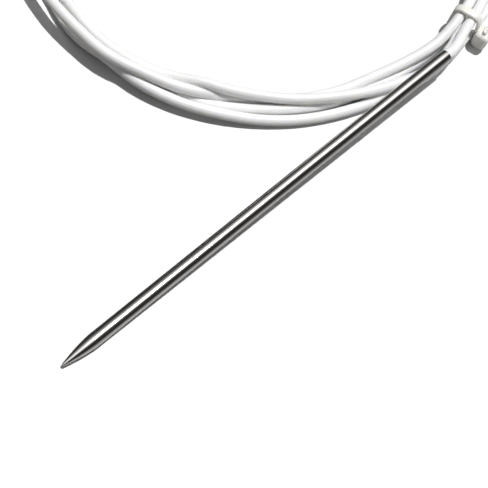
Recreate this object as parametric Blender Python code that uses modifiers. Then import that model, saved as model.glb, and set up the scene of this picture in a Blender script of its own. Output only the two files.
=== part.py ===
"""Thermocouple probe: a pointed steel sheath with its insulated lead wound into a tied coil.

The probe lies as it comes to rest. The shoulder of its point touches the surface z = 0, and its rear
end is carried by the coil's strands. World +X runs along the sheath from the point to the rear, and the
origin is at the middle of the sheath's footprint. All sizes are in metres.
"""
from math import asin, ceil, cos, degrees, pi, radians, sin

import bmesh
import bpy
from mathutils import Matrix, Vector

MM = 0.001

# Clearance kept between faces that touch on the real object
TOUCH_GAP = 0.3 * MM

# Sheath
SHEATH_LENGTH = 150.0 * MM
SHEATH_DIAMETER = 4.0 * MM
SHEATH_WALL = 0.25 * MM
POINT_LENGTH = 10.2 * MM
POINT_TIP_RADIUS = 0.5 * MM
POINT_TIP_BENDS = (27.0, 54.0, 78.0)
POINT_KNEES = ((1.85 * MM, 8.6 * MM), (1.60 * MM, 6.3 * MM))
POINT_FLOOR = 1.6 * MM
REAR_RIM_CHAMFER = 0.06 * MM

# Sides of the sheath and of the smaller round pieces, and how much longer than its piece a cutter is
ROUND_STEPS = 32
SMALL_ROUND_STEPS = 20
CUTTER_REACH = 1.2

# Hot junction, thermocouple wires and ceramic insulators
BEAD_DIAMETER = 1.3 * MM
WIRE_DIAMETER = 0.5 * MM
WIRE_SPACING = 1.5 * MM
WIRE_SPLAY = 2.6 * MM
INSULATOR_COUNT = 5
INSULATOR_DIAMETER = 2.9 * MM
INSULATOR_BORE = 0.9 * MM
INSULATOR_GAP = 0.3 * MM

# Crimp sleeves, cores and potting plug at the rear of the sheath
SPLICE_LENGTH = 4.0 * MM
SPLICE_DIAMETER = 1.4 * MM
SPLICE_BORE = 0.95 * MM
CORE_DIAMETER = 0.6 * MM
CORE_IN_SPLICE = 1.5 * MM
CORE_FREE = 0.6 * MM
PLUG_LENGTH = 2.4 * MM
PLUG_BORE = 1.0 * MM
LEAD_IN_SHEATH = 3.2 * MM

# Lead
LEAD_DIAMETER = 3.2 * MM
CURVE_SIDES = 2
ROUTE_STEP = 1.0

# Coil of the lead, seen from above: its middle from the sheath's rear end, its radius, and how much the side
# away from the sheath is squeezed
COIL_MIDDLE = (-7.3 * MM, 79.7 * MM)
COIL_RADIUS = 74.7 * MM
COIL_SQUEEZE = 0.90
COIL_SECTION_SIDES = 18
COIL_SECTION_STEP = 4.0
STEP_FACE = 0.15

# Strand that carries the rear of the sheath: its distance from the rear end, its layer in lead diameters and
# its clearance
SEAT_FROM_REAR = 7.4 * MM
SEAT_LAYER = 0.93
SEAT_CLEARANCE = 0.2 * MM

# Cable tie: the angle where it holds the coil, its band and its head
TIE_ANGLE = -73.0
TIE_WIDTH = 2.6 * MM
TIE_THICKNESS = 1.1 * MM
TIE_LIFT_REACH = 14.0
TIE_HEAD = (4.8 * MM, 6.4 * MM, 5.6 * MM)
TIE_HEAD_HEIGHT = 3.7 * MM
TIE_HEAD_EDGE = 1.1 * MM
TIE_STUB_LENGTH = 1.2 * MM
TIE_SIDES = 32

# The lead joins the coil's bundle at the first angle and leaves it at the second
BUNDLE_ENTRY = -76.5
BUNDLE_EXIT = -62.0

# Places of the four turns at chosen angles around the coil. Each place is how far the turn lies out from
# the coil's radius and how high above the bottom layer, both in lead diameters.
TURN_PLACES = (
    (-73.0, (1.45, 1.85), (0.375, 1.80), (0.875, 0.89), (0.375, 0.0)),
    (-64.0, (1.58, 1.82), (0.55, 1.76), (1.05, 0.88), (0.55, 0.0)),
    (-45.0, (1.00, 1.95), (0.05, 1.60), (1.00, 0.90), (0.35, 0.05)),
    (-30.0, (0.80, 2.00), (-0.18, 1.30), (0.85, 1.00), (0.20, 0.10)),
    (-13.0, (0.95, 1.95), (-0.15, 1.70), (0.55, 0.98), (0.25, 0.0)),
    (0.0, (0.85, 1.80), (-0.15, 1.95), (0.10, 1.00), (0.30, 0.02)),
    (15.0, (0.75, 1.70), (-0.22, 1.62), (-0.45, 0.62), (0.38, 0.0)),
    (30.0, (0.60, 1.65), (-0.30, 1.12), (-0.70, 0.12), (0.38, 0.0)),
    (90.0, (0.10, 1.75), (-0.35, 0.87), (-0.85, 0.0), (0.15, 0.0)),
    (150.0, (-0.20, 1.72), (-1.22, 0.92), (-1.60, 0.0), (-0.55, 0.0)),
    (165.0, (-0.30, 1.66), (-1.72, 0.92), (-2.22, 0.0), (-1.12, 0.0)),
    (173.0, (-0.27, 1.72), (-1.86, 0.90), (-2.36, 0.0), (-1.25, 0.0)),
    (180.0, (-0.16, 1.84), (-1.74, 0.92), (-1.95, 0.0), (-0.74, 0.02)),
    (187.0, (-0.06, 1.74), (-1.38, 0.95), (-1.38, 0.0), (-0.26, 0.30)),
    (194.0, (0.10, 1.65), (-1.16, 0.95), (-0.88, 0.0), (-0.16, 0.68)),
    (203.0, (-0.24, 1.42), (-1.17, 0.92), (-0.56, 0.0), (0.40, 0.62)),
    (212.0, (-0.50, 1.03), (-1.45, 1.08), (-0.44, 0.0), (0.66, 0.50)),
    (217.0, (-0.82, 0.78), (-1.45, 1.45), (-0.30, 0.0), (0.70, 0.43)),
    (222.0, (-1.15, 0.36), (-1.33, 1.34), (-0.27, 0.0), (0.73, 0.36)),
    (230.0, (-1.375, 0.03), (-1.22, 1.03), (-0.36, 0.0), (0.77, 0.12)),
    (240.0, (-1.34, 0.0), (-0.80, 0.90), (-0.34, 0.0), (0.81, 0.0)),
    (246.0, (-1.30, 0.03), (-0.48, 1.00), (-0.34, 0.0), (0.81, 0.0)),
    (252.0, (-1.24, 0.15), (-0.12, 1.00), (-0.34, 0.0), (0.83, 0.0)),
    (258.0, (-1.16, 0.50), (0.32, 0.97), (-0.32, 0.0), (0.88, 0.0)),
    (264.0, (-0.88, 0.84), (0.72, 0.96), (-0.30, 0.0), (0.98, 0.0)),
    (270.0, (-0.53, 0.97), (1.25, SEAT_LAYER), (-0.22, 0.0), (1.34, 0.0)),
    (279.0, (0.12, 1.22), (1.36, 0.92), (0.16, 0.0), (1.62, 0.0)),
)
LAST_PLACE = (1.80, 0.0)

# Route of the lead from the rear of the sheath to the bundle, and of its end from the bundle to the sleeve,
# as places from the sheath's rear end, with their height above the surface
RUN_ROUTE = (
    (3.0 * MM, 0.15 * MM, 8.85 * MM),
    (6.0 * MM, 0.75 * MM, 8.8 * MM),
    (8.8 * MM, 1.75 * MM, 8.75 * MM),
)
TAIL_ROUTE = (
    (35.0 * MM, 6.75 * MM, 1.8 * MM),
    (38.1 * MM, 6.5 * MM, 2.25 * MM),
    (42.6 * MM, 5.9 * MM, 2.45 * MM),
)
TAIL_LEAVES = (2.6, 0.0)

# Far end: heat-shrink sleeve over the split, two single cores and their fork terminals
END_SLEEVE_LENGTH = 11.0 * MM
END_SLEEVE_WALL = 0.45 * MM
END_SLEEVE_EDGE = 0.25 * MM
LEAD_IN_SLEEVE = 5.0 * MM
TAIL_DIAMETER = 1.3 * MM
TAIL_SPACING = 1.6 * MM
TAIL_SPREAD = 4.6 * MM
TAIL_LENGTH = 12.0 * MM
TAIL_BEND_ALONG = 0.45
TAIL_BEND_ACROSS = 0.55
TAIL_IN_BARREL = 2.5 * MM
BARREL_LENGTH = 5.0 * MM
BARREL_WALL = 0.45 * MM
BARREL_FLOOR = 1.0 * MM
TERMINAL_SLEEVE_LENGTH = 7.5 * MM
TERMINAL_SLEEVE_WALL = 0.4 * MM
TERMINAL_SLEEVE_EDGE = 0.2 * MM
TONGUE_LENGTH = 9.5 * MM
TONGUE_ROOT = 0.7 * MM
TONGUE_WIDTH = 6.0 * MM
TONGUE_THICKNESS = 0.8 * MM
FORK_SLOT_WIDTH = 3.2 * MM
FORK_SLOT_LENGTH = 5.2 * MM
FLOOR_CLEARANCE = 0.05 * MM

# Worked out from the sizes above
SHEATH_RADIUS = SHEATH_DIAMETER / 2
SHEATH_BORE = SHEATH_RADIUS - SHEATH_WALL
LEAD_RADIUS = LEAD_DIAMETER / 2
SEAT_HEIGHT = LEAD_DIAMETER * (1 + SEAT_LAYER) + SEAT_CLEARANCE
SHEATH_TILT = asin(SEAT_HEIGHT / (SHEATH_LENGTH - SEAT_FROM_REAR - POINT_LENGTH))
SHEATH_MIDDLE_X = (SHEATH_LENGTH * cos(SHEATH_TILT) + SHEATH_RADIUS * sin(SHEATH_TILT)) / 2
REAR_X = SHEATH_LENGTH * cos(SHEATH_TILT) - SHEATH_MIDDLE_X
BEAD_PLACE = POINT_LENGTH + BEAD_DIAMETER / 2
FIRST_INSULATOR = BEAD_PLACE + BEAD_DIAMETER / 2 + WIRE_SPLAY
LEAD_START = SHEATH_LENGTH - LEAD_IN_SHEATH
PLUG_END = LEAD_START - TOUCH_GAP
SPLICE_START = PLUG_END - PLUG_LENGTH - CORE_FREE - SPLICE_LENGTH
INSULATOR_PITCH = (SPLICE_START - FIRST_INSULATOR) / INSULATOR_COUNT
INSULATOR_LENGTH = INSULATOR_PITCH - INSULATOR_GAP
COIL_TURNS = len(TURN_PLACES[0]) - 1
STRAND_GAP_ANGLE = degrees(TOUCH_GAP / COIL_RADIUS)
TIE_HALF_ANGLE = degrees(TIE_WIDTH / 2 / COIL_RADIUS)
TIE_LIFT = TIE_THICKNESS + TOUCH_GAP + FLOOR_CLEARANCE
END_SLEEVE_BORE = LEAD_RADIUS + TOUCH_GAP
END_SLEEVE_RADIUS = END_SLEEVE_BORE + END_SLEEVE_WALL
BARREL_BORE = TAIL_DIAMETER / 2 + TOUCH_GAP
BARREL_RADIUS = BARREL_BORE + BARREL_WALL
TERMINAL_SLEEVE_BORE = BARREL_RADIUS + TOUCH_GAP
TERMINAL_SLEEVE_RADIUS = TERMINAL_SLEEVE_BORE + TERMINAL_SLEEVE_WALL
TERMINAL_HEIGHT = TERMINAL_SLEEVE_RADIUS + FLOOR_CLEARANCE


def clear_scene():
    """Remove every object of the open file."""
    for obj in list(bpy.data.objects):
        bpy.data.objects.remove(obj, do_unlink=True)


def new_collection(name):
    """Return a collection of this name, linked to the scene."""
    collection = bpy.data.collections.new(name)
    bpy.context.scene.collection.children.link(collection)
    return collection


def new_material(name, colour, roughness, metallic=0.0):
    """Return a Principled material."""
    material = bpy.data.materials.new(name)
    material.use_nodes = True
    shader = material.node_tree.nodes["Principled BSDF"]
    shader.inputs["Base Color"].default_value = (*colour, 1.0)
    shader.inputs["Roughness"].default_value = roughness
    shader.inputs["Metallic"].default_value = metallic
    material.diffuse_color = (*colour, 1.0)
    return material


def add_object(name, data, collection, material=None, parent=None):
    """Link new data into a collection as an object, with its material and parent."""
    obj = bpy.data.objects.new(name, data)
    collection.objects.link(obj)
    obj.parent = parent
    if material is not None:
        data.materials.append(material)
    return obj


def add_cutter(name, mesh, collection, parent=None):
    """Link a mesh that only serves another piece's Boolean modifier."""
    obj = add_object(name, mesh, collection, parent=parent)
    obj.hide_render = True
    obj.display_type = "WIRE"
    return obj


def cylinder_mesh(name, radius, length, middle, turn=None):
    """Return a capped cylinder's mesh along Z, or along another axis by a turn."""
    mesh = bpy.data.meshes.new(name)
    shape = bmesh.new()
    bmesh.ops.create_cone(
        shape, cap_ends=True, segments=SMALL_ROUND_STEPS, radius1=radius, radius2=radius, depth=length
    )
    if turn is not None:
        bmesh.ops.transform(shape, matrix=turn, verts=shape.verts)
    bmesh.ops.translate(shape, vec=Vector(middle), verts=shape.verts)
    shape.to_mesh(mesh)
    shape.free()
    return mesh


def box_mesh(name, size, middle):
    """Return a box's mesh."""
    mesh = bpy.data.meshes.new(name)
    shape = bmesh.new()
    bmesh.ops.create_cube(shape, size=1.0)
    bmesh.ops.scale(shape, vec=Vector(size), verts=shape.verts)
    bmesh.ops.translate(shape, vec=Vector(middle), verts=shape.verts)
    shape.to_mesh(mesh)
    shape.free()
    return mesh


def add_turned(name, profile, collection, material, parent=None, steps=ROUND_STEPS):
    """Turn a profile of (radius, place along Z) points about Z. Its outer side runs downwards."""
    mesh = bpy.data.meshes.new(name)
    points = [(radius, 0.0, along) for radius, along in profile]
    closed = profile[0][0] > 0.0
    edges = [(i, i + 1) for i in range(len(points) - 1)]
    if closed:
        edges.append((len(points) - 1, 0))
    mesh.from_pydata(points, edges, [])
    obj = add_object(name, mesh, collection, material, parent)
    screw = obj.modifiers.new("turn", "SCREW")
    screw.axis = "Z"
    screw.angle = 2 * pi
    screw.steps = steps
    screw.render_steps = steps
    screw.use_merge_vertices = True
    screw.merge_threshold = 0.00001
    screw.use_smooth_shade = True
    return obj


def add_tube(name, points, diameter, collection, material, parent=None):
    """Sweep a round section along points, with filled ends."""
    curve = bpy.data.curves.new(name, "CURVE")
    curve.dimensions = "3D"
    curve.bevel_depth = diameter / 2
    curve.bevel_resolution = CURVE_SIDES
    curve.use_fill_caps = True
    spline = curve.splines.new("POLY")
    spline.points.add(len(points) - 1)
    for target, point in zip(spline.points, points):
        target.co = (*point, 1.0)
    return add_object(name, curve, collection, material, parent)


def add_boolean(obj, operation, cutter):
    """Cut a piece by another mesh, or join it to the piece."""
    modifier = obj.modifiers.new(operation.lower(), "BOOLEAN")
    modifier.operation = operation
    modifier.object = cutter
    modifier.solver = "EXACT"


def mesh_from_curve(obj, collection):
    """Replace a curve object by a mesh object of the same name, with welded caps."""
    graph = bpy.context.evaluated_depsgraph_get()
    mesh = bpy.data.meshes.new_from_object(obj.evaluated_get(graph))
    shape = bmesh.new()
    shape.from_mesh(mesh)
    bmesh.ops.remove_doubles(shape, verts=shape.verts, dist=0.000001)
    shape.to_mesh(mesh)
    shape.free()
    name = obj.name
    matrix = obj.matrix_world.copy()
    parent = obj.parent
    bpy.data.objects.remove(obj)
    result = add_object(name, mesh, collection, parent=parent)
    result.matrix_world = matrix
    return result


def smooth_route(points, spacing):
    """Read points at an even spacing from a smooth curve through the route's points."""
    ends = [2 * points[0] - points[1], *points, 2 * points[-1] - points[-2]]
    result = [points[0].copy()]
    for before, start, stop, after in zip(ends, ends[1:], ends[2:], ends[3:]):
        pieces = max(1, ceil((stop - start).length / spacing))
        for step in range(1, pieces + 1):
            t = step / pieces
            result.append(
                0.5
                * (
                    2 * start
                    + (stop - before) * t
                    + (2 * before - 5 * start + 4 * stop - after) * t ** 2
                    + (3 * start - before - 3 * stop + after) * t ** 3
                )
            )
    return result


def blend_between(values, place):
    """Read a smooth curve through (place, value) pairs."""
    index = max(i for i in range(len(values) - 1) if values[i][0] <= place or i == 0)
    near = values[max(index - 1, 0):index + 3]
    (x0, y0), (x1, y1) = values[index], values[index + 1]

    def slope(left, right):
        return (right[1] - left[1]) / (right[0] - left[0])

    slope0 = slope(near[0], (x1, y1))
    slope1 = slope((x0, y0), near[-1])
    span = x1 - x0
    t = (place - x0) / span
    return (
        (1 + 2 * t) * (1 - t) ** 2 * y0
        + t * (1 - t) ** 2 * span * slope0
        + t ** 2 * (3 - 2 * t) * y1
        + t ** 2 * (t - 1) * span * slope1
    )


def turn_places():
    """List each turn's places one after another, as (angle, out) and (angle, up) pairs."""
    out = []
    up = []
    for turn in range(COIL_TURNS):
        for angle, *places in TURN_PLACES:
            out.append((angle + 360 * turn, places[turn][0]))
            up.append((angle + 360 * turn, places[turn][1]))
    end = TIE_ANGLE + 360 * COIL_TURNS
    out.append((end, LAST_PLACE[0]))
    up.append((end, LAST_PLACE[1]))
    leaving = BUNDLE_EXIT + 360 * COIL_TURNS
    out.append((leaving, TAIL_LEAVES[0]))
    up.append((leaving, TAIL_LEAVES[1]))
    return out, up


OUT_PLACES, UP_PLACES = turn_places()


def tie_lift(angle):
    """How far the tie's band raises the strands at this angle."""
    away = abs((angle - TIE_ANGLE + 180) % 360 - 180) / TIE_LIFT_REACH
    return TIE_LIFT * (1 + cos(pi * min(away, 1.0))) / 2


def strand_place(angle):
    """Radius and height of the lead's middle at a winding angle, which counts on over the turns."""
    radius = COIL_RADIUS + blend_between(OUT_PLACES, angle) * LEAD_DIAMETER
    layer = max(0.0, blend_between(UP_PLACES, angle))
    return radius, LEAD_RADIUS + layer * LEAD_DIAMETER + tie_lift(angle)


def coil_point(angle, radius, height):
    """World place of a radius and a height at an angle of the coil."""
    squeeze = COIL_SQUEEZE if sin(radians(angle)) > 0 else 1.0
    return Vector(
        (
            REAR_X + COIL_MIDDLE[0] + radius * cos(radians(angle)),
            COIL_MIDDLE[1] + radius * sin(radians(angle)) * squeeze,
            height,
        )
    )


def hull_outline(places, margin, sides):
    """Outline that a tight band takes around round strands, kept off by a margin."""
    outline = []
    for side in range(sides):
        direction = 2 * pi * side / sides - pi / 2
        across, upward = cos(direction), sin(direction)
        radius, height = max(places, key=lambda place: place[0] * across + place[1] * upward)
        reach = LEAD_RADIUS + margin
        outline.append((radius + reach * across, height + reach * upward))
    return outline


def axis_point(along):
    """World place on the sheath's axis at a distance from the point of the probe."""
    return Vector(
        (
            along * cos(SHEATH_TILT) - SHEATH_MIDDLE_X,
            0.0,
            SHEATH_RADIUS * cos(SHEATH_TILT) + (along - POINT_LENGTH) * sin(SHEATH_TILT),
        )
    )


def add_sheath_axis(collection):
    """Add the empty that carries the sheath and what is inside it. Its Z runs along the sheath."""
    axis = bpy.data.objects.new("sheath_axis", None)
    collection.objects.link(axis)
    axis.location = axis_point(0.0)
    axis.rotation_euler = (0.0, pi / 2 - SHEATH_TILT, 0.0)
    axis.empty_display_size = SHEATH_DIAMETER
    return axis


def add_sheath(collection, axis, material):
    """Add the steel tube with its closed conical point."""
    tip = [(0.0, 0.0)]
    for bend in map(radians, POINT_TIP_BENDS):
        tip.append((POINT_TIP_RADIUS * sin(bend), POINT_TIP_RADIUS * (1 - cos(bend))))
    profile = [
        (0.0, POINT_LENGTH - POINT_FLOOR),
        (SHEATH_BORE, POINT_LENGTH + SHEATH_BORE - POINT_FLOOR),
        (SHEATH_BORE, SHEATH_LENGTH - REAR_RIM_CHAMFER),
        (SHEATH_BORE + REAR_RIM_CHAMFER, SHEATH_LENGTH),
        (SHEATH_RADIUS - REAR_RIM_CHAMFER, SHEATH_LENGTH),
        (SHEATH_RADIUS, SHEATH_LENGTH - REAR_RIM_CHAMFER),
        (SHEATH_RADIUS, POINT_LENGTH),
        *POINT_KNEES,
        *reversed(tip),
    ]
    return add_turned("sheath", profile, collection, material, axis)


def add_junction(collection, axis, material):
    """Add the welded bead where the two wires meet."""
    mesh = bpy.data.meshes.new("junction_bead")
    shape = bmesh.new()
    bmesh.ops.create_uvsphere(shape, u_segments=16, v_segments=10, radius=BEAD_DIAMETER / 2)
    bmesh.ops.translate(shape, vec=(0.0, 0.0, BEAD_PLACE), verts=shape.verts)
    shape.to_mesh(mesh)
    shape.free()
    mesh.shade_smooth()
    return add_object("junction_bead", mesh, collection, material, axis)


def add_wire(name, side, collection, axis, material):
    """Add one thermocouple wire, from the bead through the insulators into its splice."""
    near = side * (WIRE_DIAMETER + TOUCH_GAP) / 2
    far = side * WIRE_SPACING / 2
    bead_face = BEAD_PLACE + BEAD_DIAMETER / 2 + TOUCH_GAP
    end = SPLICE_START + SPLICE_LENGTH / 2 - TOUCH_GAP
    route = [
        Vector((0.0, near, bead_face)),
        Vector((0.0, far, FIRST_INSULATOR - TOUCH_GAP)),
        Vector((0.0, far, FIRST_INSULATOR + INSULATOR_LENGTH)),
        Vector((0.0, far, end)),
    ]
    return add_tube(name, route, WIRE_DIAMETER, collection, material, axis)


def add_insulator(number, parts, cutters, axis, material):
    """Add one ceramic bead with a bore for each wire."""
    name = f"insulator_{number}"
    middle = FIRST_INSULATOR + (number - 1) * INSULATOR_PITCH + INSULATOR_LENGTH / 2
    body = cylinder_mesh(name, INSULATOR_DIAMETER / 2, INSULATOR_LENGTH, (0.0, 0.0, middle))
    obj = add_object(name, body, parts, material, axis)
    for side in (-1, 1):
        place = (0.0, side * WIRE_SPACING / 2, middle)
        bore = cylinder_mesh("wire_bore", INSULATOR_BORE / 2, INSULATOR_LENGTH * CUTTER_REACH, place)
        add_boolean(obj, "DIFFERENCE", add_cutter(f"{name}_bore", bore, cutters, axis))
    return obj


def add_splice(name, side, collection, axis, material):
    """Add the crimp sleeve that joins one wire to one core of the lead."""
    outer = SPLICE_DIAMETER / 2
    bore = SPLICE_BORE / 2
    low = SPLICE_START
    high = SPLICE_START + SPLICE_LENGTH
    profile = [(bore, low), (bore, high), (outer, high), (outer, low)]
    obj = add_turned(name, profile, collection, material, axis, SMALL_ROUND_STEPS)
    obj.location.y = side * WIRE_SPACING / 2
    return obj


def add_core(name, side, collection, axis, material):
    """Add the bared end of one core, from its splice through the plug to the lead."""
    start = SPLICE_START + SPLICE_LENGTH - CORE_IN_SPLICE
    middle = (start + LEAD_START - TOUCH_GAP) / 2
    length = LEAD_START - TOUCH_GAP - start
    place = (0.0, side * WIRE_SPACING / 2, middle)
    mesh = cylinder_mesh(name, CORE_DIAMETER / 2, length, place)
    return add_object(name, mesh, collection, material, axis)


def add_plug(parts, cutters, axis, material):
    """Add the potting plug, cast around the two cores."""
    radius = SHEATH_BORE - TOUCH_GAP / 2
    middle = PLUG_END - PLUG_LENGTH / 2
    body = cylinder_mesh("seal_plug", radius, PLUG_LENGTH, (0.0, 0.0, middle))
    obj = add_object("seal_plug", body, parts, material, axis)
    for side in (-1, 1):
        place = (0.0, side * WIRE_SPACING / 2, middle)
        bore = cylinder_mesh("core_bore", PLUG_BORE / 2, PLUG_LENGTH * CUTTER_REACH, place)
        add_boolean(obj, "DIFFERENCE", add_cutter("seal_plug_bore", bore, cutters, axis))
    return obj


def from_rear(places):
    """World places of points that are given from the sheath's rear end."""
    return [Vector(place) + Vector((REAR_X, 0.0, 0.0)) for place in places]


def add_lead_run(collection, material):
    """Add the lead's stretch from inside the sheath's rear to the coil's bundle."""
    entry_radius, entry_height = strand_place(TIE_ANGLE)
    entry = coil_point(BUNDLE_ENTRY - STRAND_GAP_ANGLE, entry_radius, entry_height)
    route = [axis_point(LEAD_START), axis_point(SHEATH_LENGTH), *from_rear(RUN_ROUTE), entry]
    points = smooth_route(route, ROUTE_STEP * LEAD_DIAMETER)
    return add_tube("lead_run", points, LEAD_DIAMETER, collection, material)


def coil_sections():
    """List the coil's sections as (angle, winding angles of the strands that it holds)."""
    first = BUNDLE_EXIT + STEP_FACE
    last = BUNDLE_ENTRY + 360
    count = ceil((last - first) / COIL_SECTION_STEP)
    sections = []
    for i in range(count + 1):
        angle = first + (last - first) * i / count
        sections.append((angle, [angle + 360 * turn for turn in range(COIL_TURNS)]))
    joining = last + STEP_FACE
    sections.append((joining, [TIE_ANGLE, *(joining + 360 * turn for turn in range(COIL_TURNS))]))
    for angle in (TIE_ANGLE, (TIE_ANGLE + BUNDLE_EXIT) / 2, BUNDLE_EXIT):
        sections.append((angle, [angle + 360 * turn for turn in range(COIL_TURNS + 1)]))
    return sections


def add_coil(collection, material):
    """Add the closed solid of the coil's outer shape, lofted through hulls of its strands."""
    mesh = bpy.data.meshes.new("lead_coil")
    shape = bmesh.new()
    rings = []
    for angle, windings in coil_sections():
        outline = hull_outline([strand_place(winding) for winding in windings], 0.0, COIL_SECTION_SIDES)
        rings.append([shape.verts.new(coil_point(angle, radius, height)) for radius, height in outline])
    for ring, following in zip(rings, rings[1:] + rings[:1]):
        for side in range(COIL_SECTION_SIDES):
            after = (side + 1) % COIL_SECTION_SIDES
            shape.faces.new((ring[side], following[side], following[after], ring[after]))
    bmesh.ops.triangulate(shape, faces=shape.faces)
    bmesh.ops.recalc_face_normals(shape, faces=shape.faces)
    shape.to_mesh(mesh)
    shape.free()
    mesh.shade_smooth()
    return add_object("lead_coil", mesh, collection, material)


def tie_matrix():
    """Frame of the tie's section: X out from the coil's middle, Y up, Z along the strands."""
    angle = radians(TIE_ANGLE)
    outward = Vector((cos(angle), sin(angle), 0.0))
    upward = Vector((0.0, 0.0, 1.0))
    along = outward.cross(upward)
    matrix = Matrix((outward, upward, along)).transposed().to_4x4()
    matrix.translation = Vector((REAR_X + COIL_MIDDLE[0], COIL_MIDDLE[1], 0.0))
    return matrix


def add_tie(parts, cutters, material):
    """Add the cable tie: a band around the bundle, its head on the outer side and the cut end."""
    places = []
    for angle in (TIE_ANGLE - TIE_HALF_ANGLE, TIE_ANGLE + TIE_HALF_ANGLE):
        places.extend(strand_place(angle + 360 * turn) for turn in range(COIL_TURNS + 1))
    curve = bpy.data.curves.new("cable_tie", "CURVE")
    curve.dimensions = "2D"
    curve.fill_mode = "BOTH"
    curve.extrude = TIE_WIDTH / 2
    for margin in (TOUCH_GAP + TIE_THICKNESS, TOUCH_GAP):
        outline = hull_outline(places, margin, TIE_SIDES)
        spline = curve.splines.new("POLY")
        spline.points.add(len(outline) - 1)
        spline.use_cyclic_u = True
        for target, (across, upward) in zip(spline.points, outline):
            target.co = (across, upward, 0.0, 1.0)
    band = add_object("cable_tie", curve, parts)
    band.matrix_world = tie_matrix()
    bpy.context.view_layer.update()
    tie = mesh_from_curve(band, parts)
    tie.data.materials.append(material)
    outer_face = max(radius for radius, height in places) + LEAD_RADIUS + TOUCH_GAP
    deep, high, long = TIE_HEAD
    head_middle = (outer_face + deep / 2, TIE_HEAD_HEIGHT, 0.0)
    head = add_cutter("cable_tie_head", box_mesh("cable_tie_head", (deep, high, long), head_middle), cutters)
    head.matrix_world = tie_matrix()
    bevel = head.modifiers.new("soft_edges", "BEVEL")
    bevel.width = TIE_HEAD_EDGE
    bevel.segments = 2
    stub_size = (TIE_THICKNESS, high / 2 + TIE_STUB_LENGTH, TIE_WIDTH)
    stub_middle = (head_middle[0], TIE_HEAD_HEIGHT + stub_size[1] / 2, 0.0)
    stub = add_cutter("cable_tie_stub", box_mesh("cable_tie_stub", stub_size, stub_middle), cutters)
    stub.matrix_world = tie_matrix()
    add_boolean(tie, "UNION", head)
    add_boolean(tie, "UNION", stub)
    return tie


def tail_route():
    """Points of the lead from the coil's bundle to its end inside the sleeve."""
    leaving = BUNDLE_EXIT + 360 * COIL_TURNS
    radius, height = strand_place(leaving)
    angle = BUNDLE_EXIT + STEP_FACE + STRAND_GAP_ANGLE
    start = coil_point(angle, radius, height)
    onward = Vector((-sin(radians(angle)), cos(radians(angle)), 0.0))
    return [start, start + onward * LEAD_RADIUS / 2, *from_rear(TAIL_ROUTE)]


def sleeve_frame():
    """Start of the end sleeve and the direction that it points in."""
    route = tail_route()
    direction = route[-1] - route[-2]
    direction.z = 0.0
    direction.normalize()
    return route[-1] - direction * LEAD_IN_SLEEVE, direction


def add_lead_tail(collection, material):
    """Add the lead's last stretch, from the coil's bundle into the end sleeve."""
    route = tail_route()
    start, direction = sleeve_frame()
    points = smooth_route([*route[:-1], start, route[-1]], ROUTE_STEP * LEAD_DIAMETER)
    return add_tube("lead_tail", points, LEAD_DIAMETER, collection, material)


def add_end_sleeve(collection, material):
    """Add the heat-shrink sleeve over the split of the lead."""
    profile = [
        (END_SLEEVE_BORE, 0.0),
        (END_SLEEVE_BORE, END_SLEEVE_LENGTH),
        (END_SLEEVE_RADIUS - END_SLEEVE_EDGE, END_SLEEVE_LENGTH),
        (END_SLEEVE_RADIUS, END_SLEEVE_LENGTH - END_SLEEVE_EDGE),
        (END_SLEEVE_RADIUS, END_SLEEVE_EDGE),
        (END_SLEEVE_RADIUS - END_SLEEVE_EDGE, 0.0),
    ]
    obj = add_turned("end_sleeve", profile, collection, material, steps=SMALL_ROUND_STEPS)
    start, direction = sleeve_frame()
    obj.location = start
    obj.rotation_mode = "QUATERNION"
    obj.rotation_quaternion = direction.to_track_quat("Z", "X")
    return obj


def terminal_matrix(side):
    """Frame of one terminal: X along it from the barrel's mouth, Z up."""
    start, direction = sleeve_frame()
    across = Vector((-direction.y, direction.x, 0.0))
    mouth = start + direction * (END_SLEEVE_LENGTH + TAIL_LENGTH) + across * side * TAIL_SPREAD
    mouth.z = TERMINAL_HEIGHT
    return Matrix.Translation(mouth)


def add_tail(name, side, collection, material):
    """Add one single core, from inside the sleeve into the barrel of its terminal."""
    start, direction = sleeve_frame()
    across = Vector((-direction.y, direction.x, 0.0))
    inside = start + direction * (LEAD_IN_SLEEVE + TOUCH_GAP) + across * side * TAIL_SPACING / 2
    at_mouth = start + direction * END_SLEEVE_LENGTH + across * side * TAIL_SPACING / 2
    terminal = terminal_matrix(side)
    bend_along = END_SLEEVE_LENGTH + TAIL_BEND_ALONG * TAIL_LENGTH
    bend_out = start + direction * bend_along + across * side * TAIL_SPREAD * TAIL_BEND_ACROSS
    bend_out.z = (start.z + TERMINAL_HEIGHT) / 2
    before = terminal @ Vector((-TAIL_IN_BARREL, 0.0, 0.0))
    end = terminal @ Vector((TAIL_IN_BARREL, 0.0, 0.0))
    points = smooth_route([inside, at_mouth, bend_out, before, end], ROUTE_STEP * TAIL_DIAMETER)
    return add_tube(name, points, TAIL_DIAMETER, collection, material)


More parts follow.
